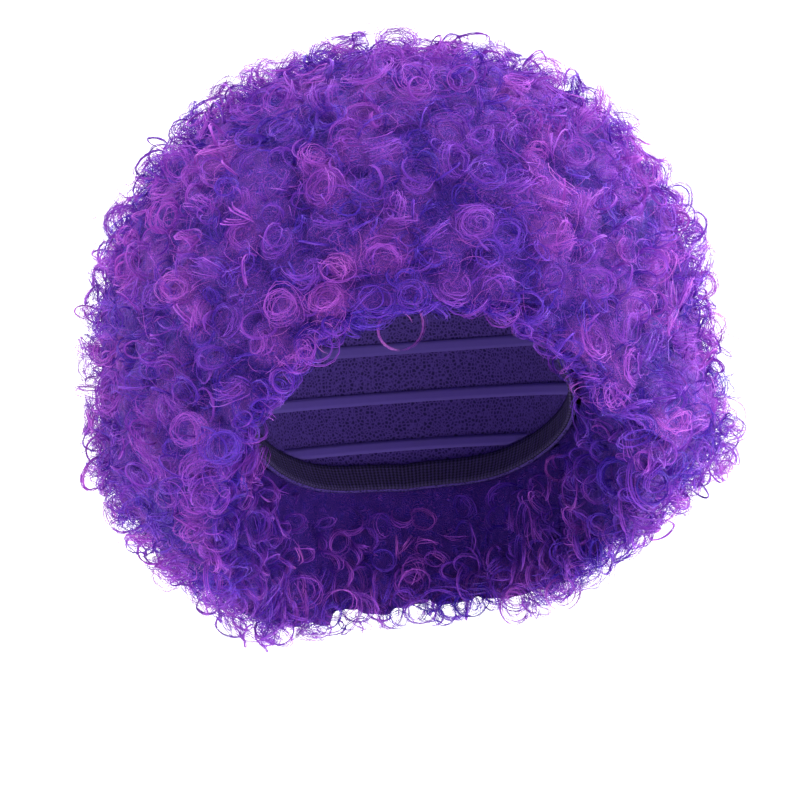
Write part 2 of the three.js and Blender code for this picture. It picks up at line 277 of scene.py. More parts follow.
    def row_of(self, polar: Array) -> Array:
        """Index of the row that each root belongs to."""
        tops = np.array([top for top, _ in self.rows()])
        return np.clip(np.searchsorted(tops, polar, side="right") - 1, 0, len(tops) - 1)


@dataclass
class Lumps:
    """Smooth chance hills and hollows through space, from a few crossing waves."""

    rng: np.random.Generator
    size: float
    waves: int = 14
    _ways: Array = field(init=False)
    _starts: Array = field(init=False)

    def __post_init__(self) -> None:
        """Draws the waves' directions and starts."""
        lengths = self.size * self.rng.uniform(1.4, 3.2, (self.waves, 1))
        ways = unit(self.rng.normal(0, 1, (self.waves, 3)))
        self._ways = ways * 2 * math.pi / lengths
        self._starts = self.rng.uniform(0, 2 * math.pi, self.waves)

    def at(self, points: Array) -> Array:
        """Heights at points, about -2 to 2."""
        return np.sin(points @ self._ways.T + self._starts).sum(-1) / math.sqrt(self.waves / 2)


def add_node(
    tree: bpy.types.NodeTree,
    kind: str,
    settings: dict[str, object] | None = None,
    links: dict[int | str, object] | None = None,
    stops: Sequence[tuple[float, str]] = (),
) -> bpy.types.Node:
    """Adds a shader node, sets its properties and fills its inputs.

    Args:
        tree: The material's node tree.
        kind: The node's type name without "ShaderNode".
        settings: Properties of the node, by name.
        links: Inputs by name or number: an output socket to link, or a value to set.
        stops: Places and hex colours of a colour ramp.

    Returns:
        The node.
    """
    node = tree.nodes.new(f"ShaderNode{kind}")
    for name, value in (settings or {}).items():
        setattr(node, name, value)
    for name, value in (links or {}).items():
        if isinstance(value, bpy.types.NodeSocket):
            tree.links.new(value, node.inputs[name])
        else:
            node.inputs[name].default_value = value
    for number, (place, code) in enumerate(stops):
        elements = node.color_ramp.elements
        element = elements[number] if number < len(elements) else elements.new(place)
        element.position, element.color = place, hex_to_linear(code)
    return node


def new_material(
    name: str, **values: object
) -> tuple[bpy.types.Material, bpy.types.NodeTree, bpy.types.Node]:
    """Makes a node material with its Principled shader.

    Args:
        name: The material's name.
        values: Even values of the shader, by input, with _ for a space.

    Returns:
        The material, its node tree and the shader.
    """
    material = bpy.data.materials.new(name)
    material.use_nodes = True
    tree = material.node_tree
    shader = tree.nodes["Principled BSDF"]
    for key, value in values.items():
        shader.inputs[key.replace("_", " ")].default_value = value
    return material, tree, shader


@dataclass(frozen=True)
class CrimpedFibre:
    """Crimped modacrylic wig fibre: spun, dyed violet and steam-set in tight curls.

    It has a soft plastic gloss along each strand, and strands differ a little in tone, so
    that a curl reads as a bundle and not as one band.
    """

    name: str = "crimped modacrylic fibre"
    roughness: float = 0.5
    ior: float = 1.48
    outer_painted_light_gain: float = 0.24
    tone_offset: float = 0.14

    def make(self) -> bpy.types.Material:
        """Builds the material. Tone comes from the strand's attributes alone, with painted shade
        and light by depth.

        Returns:
            The material.
        """
        material, tree, shader = new_material(
            self.name,
            Roughness=self.roughness,
            IOR=self.ior,
            Specular_IOR_Level=0.18,
            Specular_Tint=hex_to_linear("#dca8f0"),
            Sheen_Weight=0.06,
            Sheen_Roughness=0.4,
            Sheen_Tint=hex_to_linear("#d9a4ea"),
        )
        tone, light = (
            add_node(tree, "Attribute", {"attribute_name": key}).outputs["Fac"]
            for key in ("tone", "light")
        )
        # Painted light: strands further out in the hair get a brighter tone.
        outward = add_node(
            tree, "Math", {"operation": "MULTIPLY_ADD"}, {0: light, 1: self.outer_painted_light_gain, 2: tone}
        )
        shifted = add_node(
            tree, "Math", {"operation": "SUBTRACT"}, {0: outward.outputs[0], 1: self.tone_offset}
        )
        body = [
            (0.0, "#3a22a2"),
            (0.3, "#5a30ae"),
            (0.6, "#8c42b8"),
            (0.85, "#a850c0"),
            (1.0, "#b868c8"),
        ]
        # Painted shade: strands deep in the hair (low light) are darkened and blued, outer ones
        # left bright.
        depth = [(0.0, "#9c8cd4"), (0.5, "#dcd0f2"), (1.0, "#ffffff")]
        dye_and_painted_light, shade = (
            add_node(tree, "ValToRGB", links={0: factor}, stops=stops).outputs["Color"]
            for factor, stops in ((shifted.outputs[0], body), (light, depth))
        )
        tinted = add_node(
            tree,
            "Mix",
            {"data_type": "RGBA", "blend_type": "MULTIPLY"},
            {0: 1.0, 6: dye_and_painted_light, 7: shade},
        )
        tree.links.new(tinted.outputs[2], shader.inputs["Base Color"])
        return material


@dataclass(frozen=True)
class MattedFibre:
    """The same fibre matted under the curls: brushed, tangled and soft to the eye.

    Its strands swirl 1.2 mm apart here, coarser than the real 0.08 mm, so that they show.
    """

    name: str = "matted modacrylic fibre"
    strand_spacing: float = 1.2 * MM
    swirl_size: float = 9 * MM
    swirl_reach: float = 30 * MM
    streak_gain: float = 0.8
    tone_offset: float = 0.25

    def make(self) -> bpy.types.Material:
        """Builds the material from swirled streaks, over the tone of the curl above and its painted
        shade.

        Returns:
            The material.
        """
        material, tree, shader = new_material(
            self.name, Roughness=0.7, Specular_IOR_Level=0.12, IOR=1.48
        )
        place = add_node(tree, "TexCoord").outputs["Object"]
        swirl = add_node(
            tree, "TexNoise", {}, {"Vector": place, "Scale": 1 / self.swirl_size, "Detail": 1.0}
        )
        bent = add_node(
            tree,
            "VectorMath",
            {"operation": "MULTIPLY_ADD"},
            {0: swirl.outputs["Color"], 1: (self.swirl_reach,) * 3, 2: place},
        )
        streak = {
            "Vector": bent.outputs[0],
            "Scale": BAND_SCALE / self.strand_spacing,
            "Distortion": 12.0,
            "Detail": 3.0,
            "Detail Scale": 0.5,
            "Detail Roughness": 0.7,
        }
        x, y, z = (
            add_node(
                tree, "TexWave", {"wave_type": "BANDS", "bands_direction": way}, streak
            ).outputs["Fac"]
            for way in "XYZ"
        )
        tone = add_node(tree, "Attribute", {"attribute_name": "tone"}).outputs["Fac"]
        crossed = add_node(tree, "Math", {"operation": "ADD"}, {0: x, 1: y}).outputs[0]
        tangled = add_node(tree, "Math", {"operation": "ADD"}, {0: crossed, 1: z}).outputs[0]
        streaks = add_node(tree, "Math", {"operation": "DIVIDE"}, {0: tangled, 1: 3.0}).outputs[0]
        lit = add_node(
            tree, "Math", {"operation": "MULTIPLY_ADD"}, {0: streaks, 1: self.streak_gain, 2: tone}
        )
        shared = add_node(
            tree, "Math", {"operation": "SUBTRACT"}, {0: lit.outputs[0], 1: self.tone_offset}
        )
        stops = [
            (0.05, "#2e1a84"),
            (0.3, "#442694"),
            (0.55, "#6a34a4"),
            (0.8, "#903eb2"),
            (1.0, "#ac52bc"),
        ]
        colour = add_node(tree, "ValToRGB", links={0: shared.outputs[0]}, stops=stops)
        bump = add_node(
            tree, "Bump", {}, {"Strength": 0.9, "Distance": 0.9 * MM, "Height": streaks}
        )
        tree.links.new(colour.outputs["Color"], shader.inputs["Base Color"])
        tree.links.new(bump.outputs[0], shader.inputs["Normal"])
        return material


class MeshMaker:
    """Collects quads, their UVs and attributes, and makes one mesh object of them."""

    def __init__(self) -> None:
        """Starts empty."""
        self._points: list[Array] = []
        self._quads: list[Array] = []
        self._uvs: list[Array] = []
        self._values: dict[str, list[Array]] = {}
        self._count = 0

    def add(self, points: Array, quads: Array, uvs: Array, **values: Array) -> None:
        """Adds a part of the mesh.

        Args:
            points: Its points, N x 3.
            quads: Its faces, M x 4, as numbers of those points.
            uvs: A place on the map for each point, N x 2.
            values: Attributes by name, one value for each point.
        """
        self._points.append(points.reshape(-1, 3))
        self._quads.append(quads.reshape(-1, 4) + self._count)
        self._uvs.append(uvs.reshape(-1, 2))
        for name, value in values.items():
            self._values.setdefault(name, []).append(value.reshape(-1))
        self._count += self._points[-1].shape[0]

    def build(self, name: str, material: bpy.types.Material) -> bpy.types.Object:
        """Makes the object.

        Args:
            name: The object's name.
            material: Its material.

        Returns:
            The object, linked to the scene.
        """
        points = np.concatenate(self._points).astype(np.float32)
        quads = np.concatenate(self._quads).astype(np.int32)
        uvs = np.concatenate(self._uvs).astype(np.float32)
        mesh = bpy.data.meshes.new(name)
        mesh.vertices.add(len(points))
        mesh.vertices.foreach_set("co", points.ravel())
        mesh.loops.add(quads.size)
        mesh.loops.foreach_set("vertex_index", quads.ravel())
        mesh.polygons.add(len(quads))
        mesh.polygons.foreach_set("loop_start", np.arange(0, quads.size, 4, dtype=np.int32))
        mesh.update(calc_edges=True)
        layer = mesh.uv_layers.new(name="OFBake")
        layer.data.foreach_set("uv", uvs[quads.ravel()].ravel())
        for key, parts in self._values.items():
            attribute = mesh.attributes.new(key, "FLOAT", "POINT")
            attribute.data.foreach_set("value", np.concatenate(parts).astype(np.float32))
        mesh.polygons.foreach_set("use_smooth", np.ones(len(quads), dtype=bool))
        mesh.materials.append(material)
        made = bpy.data.objects.new(name, mesh)
        bpy.context.scene.collection.objects.link(made)
        return made


class Strands(NamedTuple):
    """Flat strands: S of them, with K points each.

    Paths and across, the way in which a strand is wide, are S x K x 3. Widths are S x K, and
    so is light, how far out in the hair a point lies, which paints shade on deep points and
    light on outer ones. Tone, S, is 0 dark to 1 bright.
    """

    paths: Array
    across: Array
    widths: Array
    tone: Array
    light: Array


def within(paths: Array, stand_out: float = 9 * MM) -> Array:
    """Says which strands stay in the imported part's box, apart from how far hair stands out."""
    low, high = (np.array(corner) for corner in CAD_BOX)
    return np.all((paths > low - stand_out) & (paths < high + stand_out), axis=(1, 2))


def ribbons(maker: MeshMaker, strands: Strands) -> None:
    """Adds flat strands that follow paths, but none that would stand out too far.

    Args:
        maker: Where the strands go.
        strands: The strands.
    """
    kept = within(strands.paths)
    paths, across, widths, tone, light = (v[kept] for v in strands)
    total, count = paths.shape[:2]
    along = unit(np.gradient(paths, axis=1))
    side = unit(across - along * np.sum(across * along, -1, keepdims=True))
    half = side * widths[..., None] / 2
    points = np.stack([paths - half, paths + half], 2)
    start = np.arange(total)[:, None] * (2 * count) + np.arange(count - 1)[None, :] * 2
    quads = np.stack([start, start + 1, start + 3, start + 2], -1)
    # Colour depends on tone and light alone, so strands of one colour share their place.
    margin, rise, half_wide = 0.02, 0.06, 0.004
    u = np.repeat((margin + (1 - 2 * margin) * tone)[:, None], count, 1)
    v = margin + (1 - 2 * margin - rise) * light + np.linspace(0, rise, count)[None, :]
    uvs = np.stack([np.stack([u + way * half_wide, v], -1) for way in (-1, 1)], 2)
    tones = np.repeat(np.repeat(tone[:, None], count, 1)[..., None], 2, 2)
    lights = np.repeat(light[..., None], 2, 2)
    maker.add(points, quads, uvs, tone=tones, light=lights)


def closed_skin(
    maker: MeshMaker,
    section: Array,
    ring: bool,
    tone: Array | None = None,
    strip: tuple[float, float] = (0.01, 0.99),
) -> None:
    """Adds a closed skin over sections, with flat ends where they don't form a ring.

    Args:
        maker: Where it goes.
        section: Points, sections x points of a section x 3.
        ring: Whether the last section joins the first.
        tone: Tone at each point, where the skin has one.
        strip: Where across the map the skin lies.
    """
    rows, count = section.shape[:2]
    points = section
    if not ring:
        ends = [np.repeat(section[i].mean(0)[None], count, 0)[None] for i in (0, -1)]
        points = np.concatenate([ends[0], section, ends[1]])
        tone = None if tone is None else np.concatenate([tone[:1], tone, tone[-1:]])
        rows += 2
    i = np.arange(rows if ring else rows - 1)[:, None]
    j = np.arange(count)[None, :]
    here, there, k = i * count, ((i + 1) % rows) * count, (j + 1) % count
    quads = np.stack([here + j, there + j, there + k, here + k], -1)
    u = np.linspace(0.01, 0.99, rows)[:, None] + 0 * j
    v = np.linspace(*strip, count)[None, :] + 0 * np.arange(rows)[:, None]
    values = {} if tone is None else {"tone": tone}
    maker.add(points, quads, np.stack([u, v], -1), **values)


@dataclass(frozen=True)
class CurlKind:
    """How one kind of curl is wound, and where on the hair it sits.

    Spread is how far its strands have sprung apart: 0 is a tight lock, 1 a fluffy ball.
    Fill draws strands in towards the middle, and so many of them lie in one lock.
    Sideways is the share whose axis lies along the surface instead of out of it.
    """

    spacing: float
    radius: tuple[float, float]
    length: tuple[float, float]
    turns: tuple[float, float]
    strands: int
    steps: int
    width: tuple[float, float]
    spread: float
    depth: tuple[float, float]
    tone: float
    sideways: float
    fill: float = 0.0
    in_lock: int = 4


class Curl(Enum):
    """The kinds of curl in the wig."""

    BALL = CurlKind(
        spacing=16 * MM, radius=(6.5 * MM, 11 * MM), length=(6 * MM, 13 * MM), turns=(1.3, 2.2),
        strands=17, steps=16, width=(0.15 * MM, 0.3 * MM), spread=1.0, depth=(0.92, 0.972),
        tone=0.56, sideways=0.68, fill=1.0,
    )
    # Tucked curls sit deep between the balls; their low tone is painted shade.
    TUCKED = CurlKind(
        spacing=10.5 * MM, radius=(5 * MM, 8 * MM), length=(6 * MM, 12 * MM), turns=(1.1, 1.8),
        strands=8, steps=14, width=(0.18 * MM, 0.32 * MM), spread=0.9, depth=(0.89, 0.95),
        tone=0.28, sideways=0.5,
    )
    LOOP = CurlKind(
        spacing=15 * MM, radius=(5 * MM, 8.5 * MM), length=(3 * MM, 9 * MM), turns=(0.8, 1.6),
        strands=7, steps=17, width=(0.3 * MM, 0.5 * MM), spread=0.24, depth=(0.94, 0.985),
        tone=0.48, sideways=0.8,
    )
    RIM = CurlKind(
        spacing=9.5 * MM, radius=(5 * MM, 9 * MM), length=(6 * MM, 14 * MM), turns=(1.1, 2.0),
        strands=9, steps=18, width=(0.2 * MM, 0.36 * MM), spread=0.6, depth=(0.14, 0.95),
        tone=0.48, sideways=0.6,
    )


@dataclass
class Curls:
    """All curls of one kind: bundles of strands wound in a corkscrew."""

    space: HairSpace
    rng: np.random.Generator
    kind: CurlKind
    patches: Lumps
    on_rim: bool = False
    around: Array | None = None
    lump_size: float = 24 * MM
    lump_height: float = 0.03
    patch_gain: float = 0.13
    painted_shade_in_front: float = 0.24
    painted_shade_reach: float = 0.35
    raised: float = 0.012
    loose_share: float = 0.15
    loosest: float = 1.8
    off_radius: float = 0.2
    off_axis: float = 2 * MM
    off_turn: float = 0.45
    wobble: float = 0.75 * MM
    crimp: float = 0.22 * MM
    gathering: float = 0.75
    azimuth: Array = field(init=False)
    polar: Array = field(init=False)
    depth: Array = field(init=False)
    centre: Array = field(init=False)
    out: Array = field(init=False)
    axis: Array = field(init=False)
    size: Array = field(init=False)
    tone: Array = field(init=False)

    def __post_init__(self) -> None:
        """Places the curls and draws how each is turned, its size and its tone."""
        rng, kind = self.rng, self.kind
        places = self._rim_places(3500) if self.on_rim else self._outer_places(9000)
        chosen = self._far_apart(self.space.point(*places))
        self.azimuth, self.polar, depth = (v[chosen] for v in places)
        out, _ = self.space.frame_at(self.azimuth, self.polar, depth)
        if self.on_rim:
            out = unit(self._rim_direction(depth) + 0.45 * out)
        count = len(chosen)
        sideways = rng.uniform(0, 1, (count, 1)) < kind.sideways
        chance = unit(rng.normal(0, 1, out.shape))
        self.axis = unit(out * np.where(sideways, 0.25, 1.7) + chance)
        self.size = rng.uniform(*kind.radius, count)
        middle = self.space.point(self.azimuth, self.polar, depth)
        lumps = self.lump_height * Lumps(rng, self.lump_size).at(middle)
        depth = self.space.tufted(self.azimuth, self.polar, depth) + lumps
        depth = np.where(sideways[:, 0] & (not self.on_rim), depth + self.raised, depth)
        self.centre = self.space.point(self.azimuth, self.polar, depth)
        self.out, self.depth = out, np.maximum(depth, 0.9) if self.on_rim else depth
        # Painted shade: curls near the cap's edge at the front are darker, the shadow between hair
        # and face.
        by_edge = np.exp((self.polar - self.space.edge(self.azimuth)) / self.painted_shade_reach)
        in_front = by_edge * (0.5 - 0.5 * np.cos(self.azimuth)) ** 2
        tone = kind.tone + self.patch_gain * self.patches.at(middle)
        tone = tone - self.painted_shade_in_front * in_front
        self.tone = np.clip(tone + rng.normal(0, 0.06, count), 0.06, 0.74)

    def _outer_places(self, count: int) -> tuple[Array, Array, Array]:
        """Places spread evenly over the outside of the hair.

        Args:
            count: How many.

        Returns:
            Their azimuths, polar angles and depths.
        """
        azimuth = self.rng.uniform(-math.pi, math.pi, count * 4)
        edge = self.space.edge(azimuth)
        polar = edge * self.rng.uniform(0, 1, count * 4)
        here = self.space.outline(azimuth, polar)
        a = self.space.outline(azimuth + STEP, polar) - here
        b = self.space.outline(azimuth, polar + STEP) - here
        area = np.linalg.norm(np.cross(a, b), axis=-1) * edge
        kept = self.rng.uniform(0, area.max(), len(area)) < area
        depth = self.rng.uniform(*self.kind.depth, len(area))
        return azimuth[kept][:count], polar[kept][:count], depth[kept][:count]

    def _rim_places(self, count: int) -> tuple[Array, Array, Array]:
        """Places over the rim of the hair, from the cap's edge out to the outline.

        Args:
            count: How many.

        Returns:
            Their azimuths, polar angles and depths.
        """
        azimuth = self.rng.uniform(-math.pi, math.pi, count)
        low, high = self.kind.depth
        depth = low + (high - low) * self.rng.uniform(0, 1, count) ** 0.8
        return azimuth, self.space.edge(azimuth) - 0.006, depth

    def _rim_direction(self, depth: Array) -> Array:
        """Directions out of the rim's surface, towards the wig's opening.

        Args:
            depth: Depths of the curls, which lie on the rim.

        Returns:
            Unit vectors.
        """
        azimuth, polar = self.azimuth, self.polar
        edge, point = self.space.edge, self.space.point
        ahead = point(azimuth + STEP, edge(azimuth + STEP), depth)
        behind = point(azimuth - STEP, edge(azimuth - STEP), depth)
        here = point(azimuth, polar, depth)
        normal = unit(np.cross(ahead - behind, point(azimuth, polar, depth + STEP) - here))
        down = point(azimuth, polar + STEP, depth) - here
        return normal * np.sign(np.sum(normal * down, -1, keepdims=True))

    def _far_apart(self, points: Array) -> Array:
        """Keeps places that are far enough from those kept before them.

        Args:
            points: The places, in turn.

        Returns:
            Numbers of the kept ones.
        """
        before = np.zeros((0, 3)) if self.around is None else self.around
        kept = np.concatenate([before, np.empty((len(points), 3))])
        chosen: list[int] = []
        for i, p in enumerate(points):
            n = len(before) + len(chosen)
            apart = np.sum((kept[:n] - p) ** 2, axis=1)
            if n and apart.min() < self.kind.spacing**2:
                continue
            kept[n] = p
            chosen.append(i)
        return np.array(chosen)

    def _in_locks(self, count: int) -> Array:
        """Draws one number per strand, alike for the strands that lie in one lock.

        Args:
            count: How many curls.

        Returns:
            Numbers about 0, curls x strands x 1.
        """
        kind = self.kind
        locks = self.rng.normal(0, 1, (count, -(-kind.strands // kind.in_lock), 1))
        shared = np.repeat(locks, kind.in_lock, 1)[:, : kind.strands]
        return shared + self.rng.normal(0, 0.3, (count, kind.strands, 1))

    def strands_of(self, which: Array) -> Strands:
        """Strands of some of the curls.

        Args:
            which: Numbers of the curls.

        Returns:
            The strands.
        """
        rng, kind = self.rng, self.kind
        n, m, k = len(which), kind.strands, kind.steps + 1
        s = np.linspace(0, 1, k)[None, None, :]
        size = self.size[which][:, None, None]
        turns = rng.uniform(*kind.turns, (n, 1, 1))
        length = rng.uniform(*kind.length, (n, 1, 1))
        hand = rng.choice([-1.0, 1.0], (n, 1, 1))
        phase = rng.uniform(0, 2 * math.pi, (n, 1, 1))
        loosened = rng.uniform(0, 1, (n, m, 1)) < self.loose_share
        loose = np.where(loosened, self.loosest, 1.0) * kind.spread
        off_radius = (self._in_locks(n) - kind.fill) * self.off_radius * loose * size
        off_axis = self._in_locks(n) * self.off_axis * loose
        off_turn = self._in_locks(n) * self.off_turn * loose
        starts = rng.uniform(0, 0.12, (n, m, 1))
        ends = rng.uniform(0.84, 1.0, (n, m, 1))
        at = starts + (ends - starts) * s
        waves = rng.uniform(2, 5, (n, m, 1)) * at + rng.uniform(0, 1, (n, m, 1))
        wobble = np.sin(2 * math.pi * waves) * self.wobble * loose
        closing = rng.uniform(0.05, 0.45, (n, 1, 1))
        swell = (0.55 + 0.45 * np.minimum(at / 0.2, 1)) * (1 - closing * at**3)
        crimp = rng.normal(0, self.crimp, (n, m, k)) * kind.spread
        gathered = 1 - self.gathering * at**4
        radius = size * swell + (off_radius + wobble + crimp) * gathered
        angle = phase + hand * 2 * math.pi * turns * at + off_turn
        height = (1.25 * np.sin(0.85 * math.pi * at) - 0.7) * length
        height = height + (off_axis + wobble[..., ::-1]) * gathered
        axis = self.axis[which]
        aside = np.where(np.abs(axis[:, 2:3]) > 0.9, [[1.0, 0, 0]], [[0, 0, 1.0]])
        e1 = unit(np.cross(aside, axis))
        e2 = np.cross(axis, e1)
        e1, e2, e3 = (v[:, None, None, :] for v in (e1, e2, axis))
        oval = rng.uniform(0.72, 1.08, (n, 1, 1, 1))
        outward = np.cos(angle)[..., None] * e1 + oval * np.sin(angle)[..., None] * e2
        centre = self.centre[which][:, None, None, :]
        paths = centre + outward * radius[..., None] + height[..., None] * e3
        tilt = rng.uniform(0.35, 1.2, (n, m, 1))[..., None] * rng.choice([-1, 1], (n, m, 1, 1))
        across = np.cos(tilt) * outward + np.sin(tilt) * e3
        width = rng.uniform(*kind.width, (n, m, 1)) * (1 - 0.75 * at**6)
        tone = np.clip(self.tone[which][:, None] + rng.normal(0, 0.06, (n, m)), 0, 1)
        out = self.out[which][:, None, None, :]
        # Painted shade and light: points deep in the hair get low light and are darkened, outer
        # ones full light.
        stands = self.depth[which][:, None, None] + np.sum((paths - centre) * out, -1) / HAIR_LENGTH
        light = np.clip((stands - 0.86) / 0.13, 0, 1)
        flat = (n * m, k)
        return Strands(
            paths.reshape(*flat, 3),
            np.broadcast_to(across, paths.shape).reshape(*flat, 3),
            width.reshape(flat),
            tone.reshape(-1),
            light.reshape(flat),
        )


@dataclass
class Frizz:
    """Loose fibres that have sprung out of their curls and stand in short arcs."""

    space: HairSpace
    rng: np.random.Generator
    patches: Lumps
    count: int = 10000
    steps: int = 7
    width: tuple[float, float] = (0.14 * MM, 0.25 * MM)
    depth: tuple[float, float] = (0.88, 0.985)
    bend_radius: tuple[float, float] = (4 * MM, 9 * MM)
    bend_angle: tuple[float, float] = (0.6 * math.pi, 1.7 * math.pi)
    lift: float = 3 * MM
    tone: float = 0.5
    patch_gain: float = 0.13
    tone_spread: float = 0.1
    azimuth: Array = field(init=False)
    polar: Array = field(init=False)

    def __post_init__(self) -> None:
        """Spreads the fibres' roots over the hair."""
        n = self.count
        azimuth = self.rng.uniform(-math.pi, math.pi, n * 5)
        edge = self.space.edge(azimuth)
        share = self.rng.uniform(0, 1.0, n * 5)
        weight = np.sin(np.minimum(edge * share * 1.25, math.pi * 0.97))
        kept = np.flatnonzero(self.rng.uniform(0, 1, n * 5) < weight)[:n]
        self.azimuth, self.polar = azimuth[kept], (edge * share)[kept]

    def strands_of(self, which: Array) -> Strands:
        """Some of the fibres.

        Args:
            which: Their numbers.

        Returns:
            The strands.
        """
        rng, n, k = self.rng, len(which), self.steps + 1
        inner, outer = self.depth
        depth = inner + (outer - inner) * rng.uniform(0, 1, n) ** 1.4
        root = self.azimuth[which], self.polar[which]
        depth = self.space.tufted(*root, depth)
        start = self.space.point(*root, depth)
        out, aside = self.space.frame_at(*root, depth)
        spin = rng.uniform(0, 2 * math.pi, (n, 1))
        along = np.cos(spin) * aside + np.sin(spin) * np.cross(out, aside)
        heading = unit(along + out * rng.normal(0, 0.4, (n, 1)))
        bend = np.cross(heading, unit(rng.normal(0, 1, (n, 3)) + 0.9 * np.cross(out, along)))
        bend = unit(bend * -np.sign(np.sum(bend * out, -1, keepdims=True)))
        curve = rng.uniform(*self.bend_radius, (n, 1))
        sweep = rng.uniform(*self.bend_angle, (n, 1))
        at = np.linspace(0, 1, k)[None, :]
        angle = (at - 0.5) * sweep
        rise = np.cross(heading, bend)
        lift = rng.normal(0, self.lift, (n, 1)) * at
        paths = (
            start[:, None]
            + heading[:, None] * (np.sin(angle) * curve)[..., None]
            + bend[:, None] * ((1 - np.cos(angle)) * curve)[..., None]
            + rise[:, None] * lift[..., None]
        )
        across = np.broadcast_to((rise + 0.7 * bend)[:, None], paths.shape)
        width = rng.uniform(*self.width, (n, 1)) * (1 - 0.6 * (2 * at - 1) ** 4)
        patches = self.patch_gain * self.patches.at(start)
        tone = np.clip(self.tone + patches + rng.normal(0, self.tone_spread, n), 0, 1)
        # Painted shade: frizz rooted deeper in the hair is darker.
        light = np.clip(0.4 + 0.6 * (depth[:, None] - 0.87) / 0.1 + 0 * at, 0, 1)
        return Strands(paths, across, width, tone, light)


@dataclass(frozen=True)
class LockPlace:
    """Where one free lock hangs, and how it is rolled, as its ring is seen from the front."""

    azimuth: float
    centre: tuple[float, float, float]
    radius: float
    turns: float
    start: float
    flare: float
    hand: float
    strands: int


@dataclass
class FreeLocks:
    """Thin locks that hang free of the mass of hair in open rings.

    Two are placed, one at the front edge and one low at a side. The rest hang all round the
    lower rim.
    """

    space: HairSpace
    rng: np.random.Generator
    placed: tuple[LockPlace, ...] = (
        LockPlace(180, (-13 * MM, -123 * MM, -68 * MM), 9.5 * MM, 1.35, 150, 0.9, -1, 10),
        LockPlace(100, (64 * MM, -12 * MM, -198 * MM), 7.5 * MM, 1.5, 60, 0.4, -1, 8),
    )
    hanging: int = 84
    apart: float = 0.8 * MM
    wave: float = 0.45 * MM
    drift: float = 4 * MM
    tone: tuple[float, float] = (0.32, 0.58)
    placed_painted_light_tone: float = 0.82
    tone_spread: float = 0.13
    steps: int = 22
    width: float = 0.26 * MM
    azimuth: Array = field(init=False)
    polar: Array = field(init=False)
    places: list[LockPlace] = field(init=False)

    def __post_init__(self) -> None:
        """Draws where the locks of the lower rim hang."""
        self.places = list(self.placed)
        for side in np.linspace(-118, 118, self.hanging):
            azimuth = side + self.rng.normal(0, 2)
            turned = np.array(math.radians(azimuth))
            depth = np.array(self.rng.uniform(0.6, 0.99))
            root = turned, self.space.edge(turned) - 0.02
            centre = self.space.point(*root, self.space.tufted(*root, depth))
            centre = centre - np.array([0, 0, self.rng.uniform(-1, 6) * MM])
            lock = LockPlace(
                azimuth,
                tuple(centre),
                radius=self.rng.uniform(4.5, 9) * MM,
                turns=self.rng.uniform(0.8, 1.5),
                start=self.rng.uniform(40, 140),
                flare=self.rng.uniform(0.5, 1.5),
                hand=self.rng.choice([-1, 1]),
                strands=int(self.rng.integers(5, 11)),
            )
            self.places.append(lock)
        self.azimuth = np.radians([place.azimuth for place in self.places])
        self.polar = self.space.edge(self.azimuth) - 0.01

    def strands_of(self, which: Array) -> Strands:
        """Strands of some of the locks.

        Args:
            which: Their numbers.

        Returns:
            The strands.
        """
        parts = [self._strands(self.places[i], i >= len(self.placed)) for i in which]
        return Strands(*(np.concatenate(v) for v in zip(*parts)))

    def _strands(self, place: LockPlace, turned: bool) -> Strands:
        """Strands of one lock.

        Args:
            place: The lock.
            turned: Whether its ring is turned by chance, instead of facing the front.

        Returns:
            The strands.
        """
        rng, n = self.rng, place.strands
        at = np.linspace(0, 1, self.steps + 1)[None, :]
        spin = rng.uniform(-1.3, 1.3) if turned else rng.uniform(-0.15, 0.15)
        right = np.array([math.cos(spin), math.sin(spin), 0.0])
        up = np.array([0.0, 0.0, 1.0])
        facing = np.cross(right, up)
        angle = math.radians(place.start) + place.hand * 2 * math.pi * place.turns * at
        angle = angle + rng.normal(0, 0.14, (n, 1))
        radius = place.radius * (1 + place.flare * (1 - at) ** 3 - 0.25 * at**2)
        waves = rng.uniform(1, 3, (n, 1)) * at + rng.uniform(0, 1, (n, 1))
        apart = rng.normal(0, self.apart, (n, 1)) + self.wave * np.sin(2 * math.pi * waves)
        gathered = 1 - 0.7 * at**3
        radius = radius + apart * (1.0 if turned else 0.45) * gathered
        drift = (at - 0.5) * self.drift + rng.normal(0, self.apart, (n, 1)) * gathered
        paths = (
            np.array(place.centre)
            + right * (np.cos(angle) * radius)[..., None]
            + up * (np.sin(angle) * radius)[..., None]
            + facing * drift[..., None]
        )
        across = np.broadcast_to(facing + 0.6 * right, paths.shape)
        width = self.width * rng.uniform(0.7, 1.3, (n, 1)) * (1 - 0.6 * at**5)
        # The two placed locks get a brighter tone: painted light that lifts them out of the hair's
        # shade.
        middle = rng.uniform(*self.tone) if turned else self.placed_painted_light_tone
        tone = np.clip(rng.normal(middle, self.tone_spread, n), 0, 1)
        return Strands(paths, across, width, tone, np.ones_like(width))


def stand_for(piece: bpy.types.Object, node: str) -> None:
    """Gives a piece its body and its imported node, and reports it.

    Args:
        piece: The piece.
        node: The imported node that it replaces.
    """
    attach(piece, "root")
    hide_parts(node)
    log.info("%s: %d faces", piece.name, len(piece.data.polygons))


